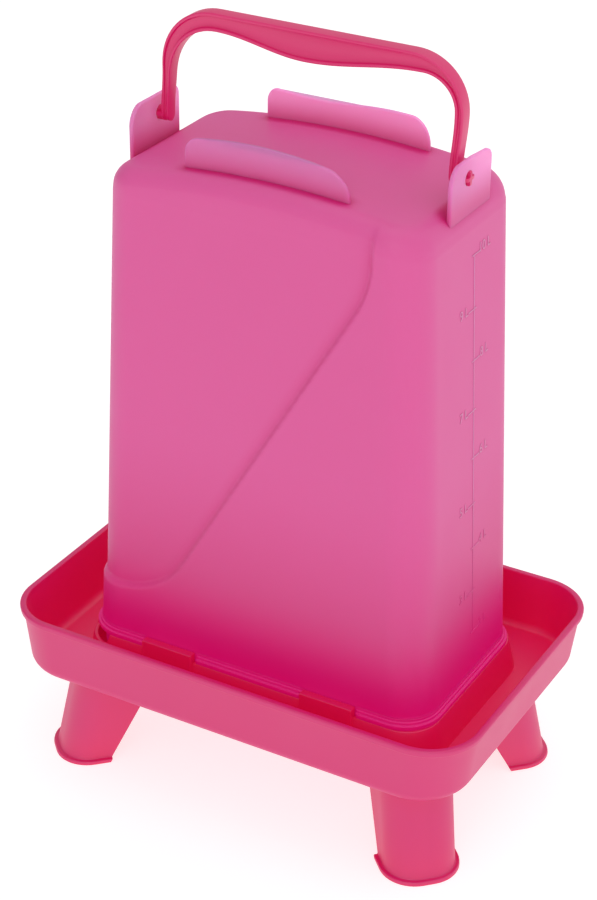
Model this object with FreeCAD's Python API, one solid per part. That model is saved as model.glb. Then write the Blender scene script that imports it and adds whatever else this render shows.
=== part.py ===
import FreeCAD, Part
import math
import os

# Ten-litre siphon drinker for poultry: an open-bottomed tank stands in the collar of a trough
# tray, which stands on four push-on legs. A bail handle folds over the tank's crown.
# Millimetres. X runs along the tray, the front faces -Y, and Z = 0 is the ground.

# --- Driving dimensions -------------------------------------------------------------------------
WALL = 2.5                  # moulded wall of tank, tray and legs
FIT = 0.4                   # clearance where one moulding drops into or round another

# Tank, measured outside where its walls meet the mouth flange
TANK_LENGTH = 250.8
TANK_DEPTH = 141.0
TANK_HEIGHT = 342.0         # seat of the flange to the crown
TANK_CORNER = 24.0          # upright corner radius
END_DRAFT = 2.67            # degrees, the two narrow walls
FACE_DRAFT = 0.49           # degrees, the two broad walls
CROWN_RADIUS = 600.0        # the crown is curved along X only
SHOULDER = 15.0             # round between crown and walls

# Mouth flange, three stepped ridges, and the spigot below it
RIDGE_REACH = 1.0           # each ridge stands out this much more than the one above
RIDGE_HEIGHT = 1.9
RIM_HEIGHT = 3.2            # the lowest ridge, which sits on the collar
SPIGOT_DROP = 14.0
SPIGOT_INSET = 1.9

# Relief: the upper left of the tank lies a little deeper than the lower right
RELIEF_DEPTH = 2.5
RELIEF_MARGIN = 29.0        # from the right wall's top to the upright part of the line
RELIEF_KNEE_DROP = 45.5     # from the crown to the upper bend
RELIEF_FOOT_RISE = 41.5     # from the seat to the level part of the line
RELIEF_FOOT_MARGIN = 57.0   # from the left wall's foot to the lower bend
RELIEF_KNEE_RADIUS = 70.0
RELIEF_FOOT_RADIUS = 60.0

# Two grip fins and two handle ears on the crown
FIN_HALF_LENGTH = 56.0
FIN_RISE = 18.6
FIN_CORNER = 17.0
FIN_THICKNESS = 2.5
FIN_FACE_INSET = 16.6       # from the broad wall at the crown to the fin's outer face
EAR_HALF_WIDTH = 27
EAR_RISE = 19.0
EAR_CORNER = 13.0
EAR_THICKNESS = 3.0
EAR_SIDE_STEP = 4.5         # the left ear sits to the front, the right one to the back
EAR_FACE_INSET = 1.6        # from the narrow wall at the crown to the ear's outer face

# Bail handle
PIVOT_RISE = 6.9            # pivot above the crown
PIN_RADIUS = 4.6
PIN_CLEARANCE = 0.25
PIN_WEB = 2.4               # the pins have a plus-shaped section
PIN_OVERHANG = 1.5
HANDLE_GAP = 3.0            # between an arm and the ear beside it
ARM_THICKNESS = 5.5
ARM_END_RADIUS = 6.5
HANDLE_REACH = 72.1         # pivot to the top of the grip
GRIP_BELLY = 21.9           # height of the grip at its middle, before the belly is rounded
BELLY_RADIUS = 450.0
GRIP_END = 10.4             # height of the grip where it meets the corners
HANDLE_CORNER = 34.0
HANDLE_WIDTH = 10.6
HANDLE_WEB = 6.0
HANDLE_FLANGE = 2.2

# Tray
TROUGH_END = 41.8           # flange to the tray's rim at each end
TROUGH_SIDE = 38.4          # flange to the tray's rim at front and back
TRAY_DEPTH = 45.0           # underside to rim
TRAY_CORNER = 37.2
TRAY_END_DRAFT = 6.0        # how much the tray narrows towards its floor, each end
TRAY_SIDE_DRAFT = 0.6
TRAY_HEEL = 8.5             # outer round between wall and floor
LIP_REACH = 2.0
LIP_HEIGHT = 4.5

# Collar inside the tray, its catches and its water openings
COLLAR_HEIGHT = 21.5        # tray floor to the seat
COLLAR_FLARE = 5.0          # the collar's foot stands out this much more than its top
CATCH_LENGTH = 38.0
CATCH_SPACING = 120.0
CATCH_PROUD = 3.1           # beyond the flange
INLET_DROP = 8.0            # corner notch of the collar, below the seat
INLET_LENGTH = 24.0
INLET_DEPTH = 26.0
OUTLET_WIDTH = 14.0         # low openings through the collar's back wall
OUTLET_HEIGHT = 6.0
OUTLET_SPACING = 110.0

# Legs, one under each tray corner, each a channel open to the middle of the tray
LEG_HEIGHT = 74.0
LEG_WIDTH = 48
LEG_CORNER = 20.0
LEG_END_INSET = 35.8        # tray rim to the leg's centre, along X
LEG_SIDE_INSET = 34.1       # tray rim to the leg's centre, along Y
LEG_FOOT_FRONT = 13.0       # leg centre to the outer wall, at the ground
LEG_TOP_FRONT = -3.0        # the same under the tray
LEG_FOOT_BACK = 18.0        # leg centre to the free edges, at the ground
LEG_TOP_BACK = 58.0
FOOT_REACH = 2.8
FOOT_HEIGHT = 3.0
BOSS_HEIGHT = 14.0          # rib under the tray that each leg pushes onto
BOSS_BACK = 44.0            # leg centre to the rib's inner side

# --- Derived places -------------------------------------------------------------------------------
FLOOR_Z = LEG_HEIGHT + WALL
SEAT_Z = FLOOR_Z + COLLAR_HEIGHT
CROWN_Z = SEAT_Z + TANK_HEIGHT
RIM_Z = LEG_HEIGHT + TRAY_DEPTH
FLANGE_TOP_Z = SEAT_Z + RIM_HEIGHT + 2 * RIDGE_HEIGHT
PIVOT_Z = CROWN_Z + PIVOT_RISE
FLANGE_X = TANK_LENGTH / 2 + 3 * RIDGE_REACH
FLANGE_Y = TANK_DEPTH / 2 + 3 * RIDGE_REACH
SPIGOT_X = TANK_LENGTH / 2 - SPIGOT_INSET
SPIGOT_Y = TANK_DEPTH / 2 - SPIGOT_INSET
TRAY_X = FLANGE_X + TROUGH_END
TRAY_Y = FLANGE_Y + TROUGH_SIDE
OVERRUN = 10.0              # how far cutting tools pass the surface they cut


def narrow_wall_x(z):
    """Outside of the tank's narrow wall at height z."""
    return TANK_LENGTH / 2 - (z - SEAT_Z) * math.tan(math.radians(END_DRAFT))


def broad_wall_y(z):
    """Outside of the tank's broad wall at height z."""
    return TANK_DEPTH / 2 - (z - SEAT_Z) * math.tan(math.radians(FACE_DRAFT))


def crown_height(x):
    """Top of the crown at x."""
    return CROWN_Z - CROWN_RADIUS + math.sqrt(CROWN_RADIUS ** 2 - x ** 2)


EAR_FACE_X = narrow_wall_x(CROWN_Z) - EAR_FACE_INSET
ARM_X = EAR_FACE_X - EAR_THICKNESS - HANDLE_GAP
FIN_FACE_Y = broad_wall_y(CROWN_Z) - FIN_FACE_INSET


# --- Shape helpers --------------------------------------------------------------------------------
def wire_through(corners, radii):
    """Closed wire through the corners, each rounded to its own radius (0 leaves it sharp)."""
    count = len(corners)
    starts = []
    ends = []
    middles = []
    for i in range(count):
        here = corners[i]
        back = (corners[i - 1] - here).normalize()
        ahead = (corners[(i + 1) % count] - here).normalize()
        half_angle = back.getAngle(ahead) / 2
        setback = radii[i] / math.tan(half_angle) if radii[i] else 0.0
        starts.append(here + back * setback)
        ends.append(here + ahead * setback)
        bisector = (back + ahead).normalize() if radii[i] else back
        middles.append(here + bisector * (radii[i] / math.sin(half_angle) - radii[i]) if radii[i] else here)
    edges = []
    for i in range(count):
        if radii[i]:
            edges.append(Part.Arc(starts[i], middles[i], ends[i]).toShape())
        following = starts[(i + 1) % count]
        if ends[i].distanceToPoint(following) > 1e-6:
            edges.append(Part.LineSegment(ends[i], following).toShape())
    return Part.Wire(edges)


def rectangle(half_x, half_y, radius, z):
    """Round-cornered rectangle about the Z axis."""
    points = [(half_x, -half_y), (half_x, half_y), (-half_x, half_y), (-half_x, -half_y)]
    corners = [FreeCAD.Vector(x, y, z) for x, y in points]
    return wire_through(corners, [radius] * 4)


def slab(half_x, half_y, radius, low_z, high_z):
    """Upright plate with a round-cornered outline."""
    return Part.Face(rectangle(half_x, half_y, radius, low_z)).extrude(FreeCAD.Vector(0, 0, high_z - low_z))


def drafted_block(low_half, high_half, corner, low_z, high_z):
    """Block with four leaning walls; low_half and high_half are its half sizes (x, y) at each end."""
    low_x, low_y = low_half
    high_x, high_y = high_half
    block = Part.makeWedge(-low_x, low_z, -low_y, -high_y, -high_x, low_x, high_z, low_y, high_y, high_x)
    block.rotate(FreeCAD.Vector(0, 0, 0), FreeCAD.Vector(1, 0, 0), 90)
    upright = [edge for edge in block.Edges if edge.BoundBox.ZLength > (high_z - low_z) / 2]
    return block.makeFillet(corner, upright)


def box(x, y, z):
    """Box between the (low, high) pairs x, y and z."""
    return Part.makeBox(x[1] - x[0], y[1] - y[0], z[1] - z[0], FreeCAD.Vector(x[0], y[0], z[0]))


def joined(shapes):
    """One solid from touching or overlapping solids."""
    result = shapes[0]
    for shape in shapes[1:]:
        result = result.fuse(shape)
    return result.removeSplitter()


# --- Tank -----------------------------------------------------------------------------------------
def crown_block(radius, top_z):
    """Block under the crown's curve, wider than the tank."""
    half_x = TANK_LENGTH / 2 + OVERRUN
    side_z = top_z - radius + math.sqrt(radius ** 2 - half_x ** 2)
    low_z = SEAT_Z - OVERRUN
    left = FreeCAD.Vector(-half_x, -TANK_DEPTH, side_z)
    middle = FreeCAD.Vector(0, -TANK_DEPTH, top_z)
    right = FreeCAD.Vector(half_x, -TANK_DEPTH, side_z)
    curve = Part.Arc(left, middle, right).toShape()
    left_foot = FreeCAD.Vector(-half_x, -TANK_DEPTH, low_z)
    right_foot = FreeCAD.Vector(half_x, -TANK_DEPTH, low_z)
    rest = Part.makePolygon([right, right_foot, left_foot, left])
    outline = Part.Face(Part.Wire([curve] + rest.Edges))
    return outline.extrude(FreeCAD.Vector(0, 2 * TANK_DEPTH, 0))


def tank_envelope(inset, crown_drop):
    """Tank body set in by inset from its proud walls, its crown lowered by crown_drop."""
    low_z = SEAT_Z
    high_z = CROWN_Z + OVERRUN
    low_half = (narrow_wall_x(low_z) - inset, broad_wall_y(low_z) - inset)
    high_half = (narrow_wall_x(high_z) - inset, broad_wall_y(high_z) - inset)
    walls = drafted_block(low_half, high_half, TANK_CORNER - inset, low_z, high_z)
    radius = CROWN_RADIUS - crown_drop
    body = walls.common(crown_block(radius, CROWN_Z - crown_drop))
    crown_edges = []
    for face in body.Faces:
        if isinstance(face.Surface, Part.Cylinder) and abs(face.Surface.Radius - radius) < 1e-6:
            crown_edges.extend(face.Edges)
    return body.makeFillet(SHOULDER - inset, crown_edges)


def relief_region(inset):
    """Block over the tank's proud lower right part, its curved edge set in by inset."""
    right = TANK_LENGTH
    knee_x = narrow_wall_x(CROWN_Z) - RELIEF_MARGIN
    foot_x = -narrow_wall_x(SEAT_Z) + RELIEF_FOOT_MARGIN
    knee_z = CROWN_Z - RELIEF_KNEE_DROP
    foot_z = SEAT_Z + RELIEF_FOOT_RISE
    slope = math.atan2(knee_z - foot_z, knee_x - foot_x)
    # The two bends move along their bisectors when the line is set in.
    knee_shift = inset * math.tan((math.pi / 2 - slope) / 2)
    foot_shift = inset * math.tan(slope / 2)
    points = [
        (knee_x + inset, knee_z - knee_shift),
        (foot_x + foot_shift, foot_z - inset),
        (-right, foot_z - inset),
        (-right, SEAT_Z - OVERRUN),
        (right, SEAT_Z - OVERRUN),
        (right, CROWN_Z + OVERRUN),
        (knee_x + inset, CROWN_Z + OVERRUN),
    ]
    corners = [FreeCAD.Vector(x, -TANK_DEPTH, z) for x, z in points]
    radii = [RELIEF_KNEE_RADIUS - inset, RELIEF_FOOT_RADIUS + inset, 0, 0, 0, 0, 0]
    outline = Part.Face(wire_through(corners, radii))
    return outline.extrude(FreeCAD.Vector(0, 2 * TANK_DEPTH, 0))


def tank_volume(inset):
    """Whole tank body with its relief, every surface set in by inset."""
    proud = tank_envelope(inset, inset).common(relief_region(inset))
    deep = tank_envelope(inset + RELIEF_DEPTH, inset)
    return joined([deep, proud])


def fin(side):
    """Grip fin along X on the crown: side -1 at the front, +1 at the back."""
    face_y = side * FIN_FACE_Y
    inner_y = face_y - side * FIN_THICKNESS
    root_z = crown_height(FIN_HALF_LENGTH) - SHOULDER / 2
    top_z = CROWN_Z + FIN_RISE
    points = [
        (FIN_HALF_LENGTH, root_z),
        (FIN_HALF_LENGTH, top_z),
        (-FIN_HALF_LENGTH, top_z),
        (-FIN_HALF_LENGTH, root_z),
    ]
    corners = [FreeCAD.Vector(x, inner_y, z) for x, z in points]
    outline = Part.Face(wire_through(corners, [0, FIN_CORNER, FIN_CORNER, 0]))
    return outline.extrude(FreeCAD.Vector(0, face_y - inner_y, 0))


def ear(side):
    """Ear plate with the pivot hole: side -1 at the left end, +1 at the right."""
    inner_x = side * (EAR_FACE_X - EAR_THICKNESS)
    middle_y = side * EAR_SIDE_STEP
    root_z = crown_height(EAR_FACE_X) - SHOULDER
    top_z = CROWN_Z + EAR_RISE
    points = [
        (middle_y - EAR_HALF_WIDTH, root_z),
        (middle_y + EAR_HALF_WIDTH, root_z),
        (middle_y + EAR_HALF_WIDTH, top_z),
        (middle_y - EAR_HALF_WIDTH, top_z),
    ]
    corners = [FreeCAD.Vector(inner_x, y, z) for y, z in points]
    outline = Part.Face(wire_through(corners, [0, 0, EAR_CORNER, EAR_CORNER]))
    return outline.extrude(FreeCAD.Vector(side * EAR_THICKNESS, 0, 0))


def catch_boxes(gap):
    """The four catches of the collar, grown by gap, between the collar's foot and their tops."""
    inner_y = TANK_DEPTH / 2 + FIT - gap
    outer_y = FLANGE_Y + CATCH_PROUD + gap
    half = CATCH_LENGTH / 2 + gap
    boxes = []
    for x in (-CATCH_SPACING / 2, CATCH_SPACING / 2):
        for side in (-1, 1):
            y = sorted((side * inner_y, side * outer_y))
            boxes.append(box((x - half, x + half), y, (FLOOR_Z, FLANGE_TOP_Z + gap)))
    return boxes


def fount_tank():
    """Open-bottomed tank with its flange, spigot, fins and ears."""
    body = tank_volume(0.0)
    ridges = []
    for step in range(3):
        reach = (3 - step) * RIDGE_REACH
        low_z = SEAT_Z if step == 0 else SEAT_Z + RIM_HEIGHT + (step - 1) * RIDGE_HEIGHT
        high_z = SEAT_Z + RIM_HEIGHT + step * RIDGE_HEIGHT
        half_x = TANK_LENGTH / 2 + reach
        half_y = TANK_DEPTH / 2 + reach
        ridges.append(slab(half_x, half_y, TANK_CORNER + reach, low_z, high_z))
    spigot_corner = TANK_CORNER - SPIGOT_INSET
    spigot = slab(SPIGOT_X, SPIGOT_Y, spigot_corner, SEAT_Z - SPIGOT_DROP, SEAT_Z + RIM_HEIGHT)
    outside = joined([body] + ridges + [spigot, fin(-1), fin(1), ear(-1), ear(1)])
    bore_top = SEAT_Z + RIM_HEIGHT
    bore = slab(SPIGOT_X - WALL, SPIGOT_Y - WALL, spigot_corner - WALL, SEAT_Z - SPIGOT_DROP, bore_top)
    tank = outside.cut(tank_volume(WALL)).cut(bore)
    for catch in catch_boxes(FIT):
        tank = tank.cut(catch)
    hole_start = FreeCAD.Vector(-TANK_LENGTH, 0, PIVOT_Z)
    hole = Part.makeCylinder(PIN_RADIUS + PIN_CLEARANCE, 2 * TANK_LENGTH, hole_start, FreeCAD.Vector(1, 0, 0))
    return tank.cut(hole)


# --- Bail handle ----------------------------------------------------------------------------------
def handle_outline(y):
    """Flat outline of the bail in the plane at y."""
    top_z = PIVOT_Z + HANDLE_REACH
    low_z = PIVOT_Z - ARM_END_RADIUS
    inner_x = ARM_X - ARM_THICKNESS
    inner_corner = HANDLE_CORNER * 0.6
    outer = [(ARM_X, low_z), (ARM_X, top_z), (-ARM_X, top_z), (-ARM_X, low_z)]
    belly = [(-inner_x, low_z), (-inner_x, top_z - GRIP_END), (0, top_z - GRIP_BELLY)]
    belly += [(inner_x, top_z - GRIP_END), (inner_x, low_z)]
    corners = [FreeCAD.Vector(x, y, z) for x, z in outer + belly]
    radii = [0, HANDLE_CORNER, HANDLE_CORNER, 0, 0, inner_corner, BELLY_RADIUS, inner_corner, 0]
    return Part.Face(wire_through(corners, radii))


def pivot_pin(side):
    """Plus-shaped pin through one ear, with the round arm end that carries it."""
    start_x = side * (ARM_X - ARM_THICKNESS)
    start = FreeCAD.Vector(start_x, 0, PIVOT_Z)
    outward = FreeCAD.Vector(side, 0, 0)
    arm_end = Part.makeCylinder(ARM_END_RADIUS, ARM_THICKNESS, start, outward)
    pin_length = EAR_FACE_X + PIN_OVERHANG - (ARM_X - ARM_THICKNESS)
    shaft = Part.makeCylinder(PIN_RADIUS, pin_length, start, outward)
    x = sorted((start_x, start_x + side * pin_length))
    across = (-PIN_RADIUS, PIN_RADIUS)
    web = (-PIN_WEB / 2, PIN_WEB / 2)
    flat = box(x, across, (PIVOT_Z + web[0], PIVOT_Z + web[1]))
    upright = box(x, web, (PIVOT_Z + across[0], PIVOT_Z + across[1]))
    return joined([arm_end, shaft.common(flat.fuse(upright))])


def carry_handle():
    """Bail handle with an I-shaped section."""
    half = HANDLE_WIDTH / 2
    full = handle_outline(-half).extrude(FreeCAD.Vector(0, HANDLE_WIDTH, 0))
    pocket = handle_outline(0).makeOffset2D(-HANDLE_FLANGE)
    pocket_depth = half - HANDLE_WEB / 2
    pocket_floor = FreeCAD.Vector(0, HANDLE_WEB / 2, 0)
    back_pocket = pocket.translated(pocket_floor).extrude(FreeCAD.Vector(0, pocket_depth, 0))
    front_pocket = pocket.translated(-pocket_floor).extrude(FreeCAD.Vector(0, -pocket_depth, 0))
    bail = full.cut(back_pocket).cut(front_pocket)
    for side in (-1, 1):
        # The arm's square end is taken off round the pivot.
        x = sorted((side * ARM_X, side * (ARM_X - ARM_THICKNESS)))
        end_z = (PIVOT_Z - ARM_END_RADIUS, PIVOT_Z)
        bail = bail.cut(box(x, (-half, half), end_z))
        bail = bail.fuse(pivot_pin(side))
    return bail.removeSplitter()


# --- Tray -----------------------------------------------------------------------------------------
def tray_basin(inset, low_z, high_z):
    """Drafted basin set in by inset from the tray's outer wall, rounded at its foot."""
    halves = []
    for z in (low_z, high_z):
        share = (RIM_Z - z) / TRAY_DEPTH
        half_x = TRAY_X - LIP_REACH - inset - share * TRAY_END_DRAFT
        half_y = TRAY_Y - LIP_REACH - inset - share * TRAY_SIDE_DRAFT
        halves.append((half_x, half_y))
    basin = drafted_block(halves[0], halves[1], TRAY_CORNER - LIP_REACH - inset, low_z, high_z)
    foot_edges = [edge for edge in basin.Edges if edge.BoundBox.ZMax < low_z + 1e-6]
    return basin.makeFillet(TRAY_HEEL - inset, foot_edges)


def collar():
    """Flared collar ring that the tank's flange sits on."""
    sections = []
    holes = []
    for z, flare in ((FLOOR_Z - WALL / 2, COLLAR_FLARE), (SEAT_Z, 0.0)):
        corner = TANK_CORNER + flare
        sections.append(rectangle(FLANGE_X + flare, FLANGE_Y + flare, corner, z))
        holes.append(rectangle(FLANGE_X + flare - WALL, FLANGE_Y + flare - WALL, corner - WALL, z))
    ring = Part.makeLoft(sections, True, True).cut(Part.makeLoft(holes, True, True))
    inlet_x = (-FLANGE_X - COLLAR_FLARE, -FLANGE_X - COLLAR_FLARE + INLET_LENGTH)
    inlet_y = (-FLANGE_Y - COLLAR_FLARE, -FLANGE_Y - COLLAR_FLARE + INLET_DEPTH)
    ring = ring.cut(box(inlet_x, inlet_y, (SEAT_Z - INLET_DROP, SEAT_Z)))
    for x in (-OUTLET_SPACING / 2, OUTLET_SPACING / 2):
        outlet_x = (x - OUTLET_WIDTH / 2, x + OUTLET_WIDTH / 2)
        outlet_y = (FLANGE_Y - OVERRUN, FLANGE_Y + OVERRUN)
        ring = ring.cut(box(outlet_x, outlet_y, (FLOOR_Z, FLOOR_Z + OUTLET_HEIGHT)))
    return ring


def leg_outline(front, back, inset, z):
    """Leg section in its own frame: +X outward along the tray corner's diagonal."""
    half = LEG_WIDTH / 2 - inset
    points = [(-back, -half), (front - inset, -half), (front - inset, half), (-back, half)]
    corners = [FreeCAD.Vector(x, y, z) for x, y in points]
    radius = LEG_CORNER - inset
    return wire_through(corners, [0, radius, radius, 0])


def under_corner(shape, side_x, side_y):
    """Turns and moves a shape from the leg's own frame to a tray corner."""
    placed = shape.copy()
    turn = math.degrees(math.atan2(side_y, side_x))
    placed.rotate(FreeCAD.Vector(0, 0, 0), FreeCAD.Vector(0, 0, 1), turn)
    place = FreeCAD.Vector(side_x * (TRAY_X - LEG_END_INSET), side_y * (TRAY_Y - LEG_SIDE_INSET), 0)
    placed.translate(place)
    return placed


def leg_boss():
    """Hollow rib under the tray that fills the top of a leg's channel."""
    outer_inset = WALL + FIT
    inner_inset = outer_inset + WALL
    low_z = LEG_HEIGHT - BOSS_HEIGHT
    rise = FreeCAD.Vector(0, 0, BOSS_HEIGHT + WALL / 2)
    outer = Part.Face(leg_outline(LEG_TOP_FRONT, BOSS_BACK, outer_inset, low_z)).extrude(rise)
    inner = Part.Face(leg_outline(LEG_TOP_FRONT, BOSS_BACK - WALL, inner_inset, low_z)).extrude(rise)
    return outer.cut(inner)


CORNERS = {
    "leg_front_left": (-1, -1),
    "leg_front_right": (1, -1),
    "leg_rear_left": (-1, 1),
    "leg_rear_right": (1, 1),
}


def drinking_tray():
    """Trough tray with its lip, collar, catches and leg bosses."""
    outer = tray_basin(0.0, LEG_HEIGHT, RIM_Z)
    lip = slab(TRAY_X, TRAY_Y, TRAY_CORNER, RIM_Z - LIP_HEIGHT, RIM_Z)
    hollow = tray_basin(WALL, FLOOR_Z, RIM_Z)
    shell = joined([outer, lip]).cut(hollow)
    bosses = [under_corner(leg_boss(), *signs) for signs in CORNERS.values()]
    return joined([shell, collar()] + catch_boxes(0.0) + bosses)


# --- Legs -----------------------------------------------------------------------------------------
def leg():
    """One leg in its own frame."""
    far_back = LEG_TOP_BACK + OVERRUN
    shells = []
    for inset, back in ((0.0, far_back), (WALL, far_back + OVERRUN)):
        foot = leg_outline(LEG_FOOT_FRONT, back, inset, 0.0)
        top = leg_outline(LEG_TOP_FRONT, back, inset, LEG_HEIGHT)
        shells.append(Part.makeLoft([foot, top], True, True))
    rise = FreeCAD.Vector(0, 0, FOOT_HEIGHT)
    foot_outline = Part.Face(leg_outline(LEG_FOOT_FRONT, far_back, -FOOT_REACH, 0.0))
    foot_flange = foot_outline.extrude(rise)
    channel = joined([shells[0], foot_flange]).cut(shells[1])
    # The free edges run inwards from the foot to the top, so the sides are deepest at the tray.
    half = LEG_WIDTH
    points = [
        (-LEG_FOOT_BACK, 0),
        (-LEG_TOP_BACK, LEG_HEIGHT),
        (-far_back - 2 * OVERRUN, LEG_HEIGHT),
        (-far_back - 2 * OVERRUN, 0),
    ]
    corners = [FreeCAD.Vector(x, -half, z) for x, z in points]
    behind = Part.Face(wire_through(corners, [0] * 4)).extrude(FreeCAD.Vector(0, 2 * half, 0))
    return channel.cut(behind)


# --- Build ----------------------------------------------------------------------------------------
def main():
    """Writes one STEP file for each piece."""
    parts = {
        "fount_tank": fount_tank(),
        "drinking_tray": drinking_tray(),
        "carry_handle": carry_handle(),
    }
    for name, signs in CORNERS.items():
        parts[name] = under_corner(leg(), *signs)
    os.makedirs("parts", exist_ok=True)
    for name, shape in parts.items():
        shape.exportStep("parts/" + name + ".step")
        print(name, shape.ShapeType, len(shape.Solids), shape.isValid(), round(shape.Volume))


main()
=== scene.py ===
import math

import bpy
import numpy as np
from mathutils import Matrix, Vector


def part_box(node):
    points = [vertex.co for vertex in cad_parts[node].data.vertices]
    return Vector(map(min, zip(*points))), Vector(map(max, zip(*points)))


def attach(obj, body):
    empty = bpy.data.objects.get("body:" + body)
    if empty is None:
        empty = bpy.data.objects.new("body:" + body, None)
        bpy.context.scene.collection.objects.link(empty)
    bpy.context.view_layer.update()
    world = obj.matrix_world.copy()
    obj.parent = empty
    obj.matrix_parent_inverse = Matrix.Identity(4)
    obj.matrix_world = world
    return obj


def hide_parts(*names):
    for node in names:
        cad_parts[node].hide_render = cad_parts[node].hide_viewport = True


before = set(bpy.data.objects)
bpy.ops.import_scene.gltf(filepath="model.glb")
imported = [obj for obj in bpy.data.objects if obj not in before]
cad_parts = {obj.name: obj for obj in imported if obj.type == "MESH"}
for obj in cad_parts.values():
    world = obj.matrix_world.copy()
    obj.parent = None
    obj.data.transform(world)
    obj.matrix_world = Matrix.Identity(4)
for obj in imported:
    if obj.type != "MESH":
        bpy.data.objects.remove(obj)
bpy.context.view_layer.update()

# A ten-litre siphon drinker for poultry. Metres; Z is up and the front faces -Y.
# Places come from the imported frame; the rest are the moulding's own thicknesses and rounds.
MM = 0.001
WALL = 2.5 * MM
SQUARE_ON = 0.99    # a wall faces along an axis when its normal's share of that axis is above this
TINT_DRIFT = 7.0    # scale of the slow drift between two close tints of the tank

# Tank
tank_low, tank_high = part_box("fount_tank")
FLANGE_REACH = 3.0 * MM
RIDGE_HEIGHT = 1.9 * MM
RIM_HEIGHT = 3.2 * MM
SPIGOT_DROP = 14.0 * MM
SPIGOT_INSET = 1.9 * MM
TANK_CORNER = 24.0 * MM
SHOULDER = 15.0 * MM
CROWN_RADIUS = 600.0 * MM
END_DRAFT = math.radians(2.67)
FACE_DRAFT = math.radians(0.49)
EAR_RISE = 19.0 * MM
MOUTH_X = tank_high.x - FLANGE_REACH
MOUTH_Y = tank_high.y - FLANGE_REACH
SEAT_Z = tank_low.z + SPIGOT_DROP
CROWN_Z = tank_high.z - EAR_RISE
FLANGE_TOP_Z = SEAT_Z + RIM_HEIGHT + 2 * RIDGE_HEIGHT

# Relief line on the tank
RELIEF_DEPTH = 2.5 * MM
RELIEF_SOFTNESS = 2.4 * MM
RELIEF_MARGIN = 29.0 * MM
RELIEF_KNEE_DROP = 45.5 * MM
RELIEF_FOOT_RISE = 41.5 * MM
RELIEF_FOOT_MARGIN = 57.0 * MM
RELIEF_KNEE_RADIUS = 70.0 * MM
RELIEF_FOOT_RADIUS = 60.0 * MM

# Parting line and litre scale
PARTING_Z = 418.0 * MM
PARTING_RISE = 0.15 * MM
PARTING_WIDTH = 1.6 * MM
SCALE_Y = 5.0 * MM
SCALE_FULL_Z = 397.2 * MM
SCALE_FULL_LITRES = 10
SCALE_LEAST_LITRES = 2
LITRE = 0.001
TICK_LENGTH = 8.0 * MM
TICK_TAIL = 3.0 * MM
NUMERAL_HEIGHT = 9.0 * MM
NUMERAL_GAP = 6.0 * MM
NUMERAL_DROP = 1.0 * MM
RIB_WIDTH = 0.9 * MM
RIB_RISE = 0.35 * MM

# Fins, ears and handle
FIN_HALF_LENGTH = 56.0 * MM
FIN_RISE = 18.6 * MM
FIN_END_ROUNDS = ((9.0 * MM, 17.0 * MM), (8.0 * MM, 14.0 * MM))
REAR_FIN_REACH = 2.5 * MM
FIN_ARCH = 6.0 * MM
FIN_WAVE = 1.3 * MM
FIN_ARCH_X = -6.0 * MM
FIN_WAVE_X = 5.0 * MM
FIN_WAVE_HALF = 50.0 * MM
FIN_THICKNESS = 2.5 * MM
FIN_FACE_INSET = 17.4 * MM
EAR_HALF_WIDTH = 27.0 * MM
EAR_FRONT_ROUND = 13.0 * MM
EAR_REAR_ROUND = 7.0 * MM
EAR_TOP_FALL = 0.10
EAR_THICKNESS = 3.0 * MM
EAR_SIDE_STEP = 4.5 * MM
EAR_FACE_INSET = 1.6 * MM
EAR_ROOT_DEPTH = 14.0 * MM
handle_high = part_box("carry_handle")[1]
PIVOT_Z = CROWN_Z + 6.9 * MM
PIN_RADIUS = 4.6 * MM
PIN_CLEARANCE = 0.25 * MM
PIN_WEB = 2.4 * MM
PIN_OVERHANG = 1.5 * MM
HANDLE_GAP = 3.0 * MM
ARM_THICKNESS = 5.5 * MM
GRIP_WIDTH = 10.6 * MM
ARM_WIDTH = 8.6 * MM
GRIP_END = 11.4 * MM
GRIP_MIDDLE = 19.2 * MM
HANDLE_CORNER = 34.0 * MM
HANDLE_FLANGE = 2.2 * MM
HANDLE_WEB = 6.6 * MM
RIGHT_ARM_BOW = 2.6 * MM
LEFT_ARM_BOW = -2.0 * MM
GRIP_SAG = 0.5 * MM
# Radius of the gate mark and its drop below the grip, from the root to the tip
GATE_MARK = ((1.4 * MM, -0.5 * MM), (1.1 * MM, 0.4 * MM), (0.7 * MM, 0.9 * MM), (0.2 * MM, 1.0 * MM))

# Tray
tray_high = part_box("drinking_tray")[1]
leg_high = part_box("leg_front_right")[1]
LIP_REACH = 2.0 * MM
LIP_HEIGHT = 4.5 * MM
TRAY_CORNER = 37.2 * MM
TRAY_HEEL = 8.5 * MM
TRAY_END_DRAFT = 6.0 * MM
TRAY_SIDE_DRAFT = 0.6 * MM
TRAY_X = tray_high.x
TRAY_Y = tray_high.y
RIM_Z = tray_high.z
UNDERSIDE_Z = leg_high.z
FLOOR_Z = UNDERSIDE_Z + WALL
COLLAR_FLARE = 5.0 * MM
INLET_DROP = 8.0 * MM
INLET_LENGTH = 24.0 * MM
INLET_DEPTH = 26.0 * MM
OUTLET_WIDTH = 14.0 * MM
OUTLET_HEIGHT = 6.0 * MM
OUTLET_SPACING = 110.0 * MM
CATCH_LENGTH = 38.0 * MM
CATCH_SPACING = 120.0 * MM
CATCH_PROUD = 3.1 * MM
CATCH_SIDE_GAP = 1.2 * MM
FIT = 0.4 * MM

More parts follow.
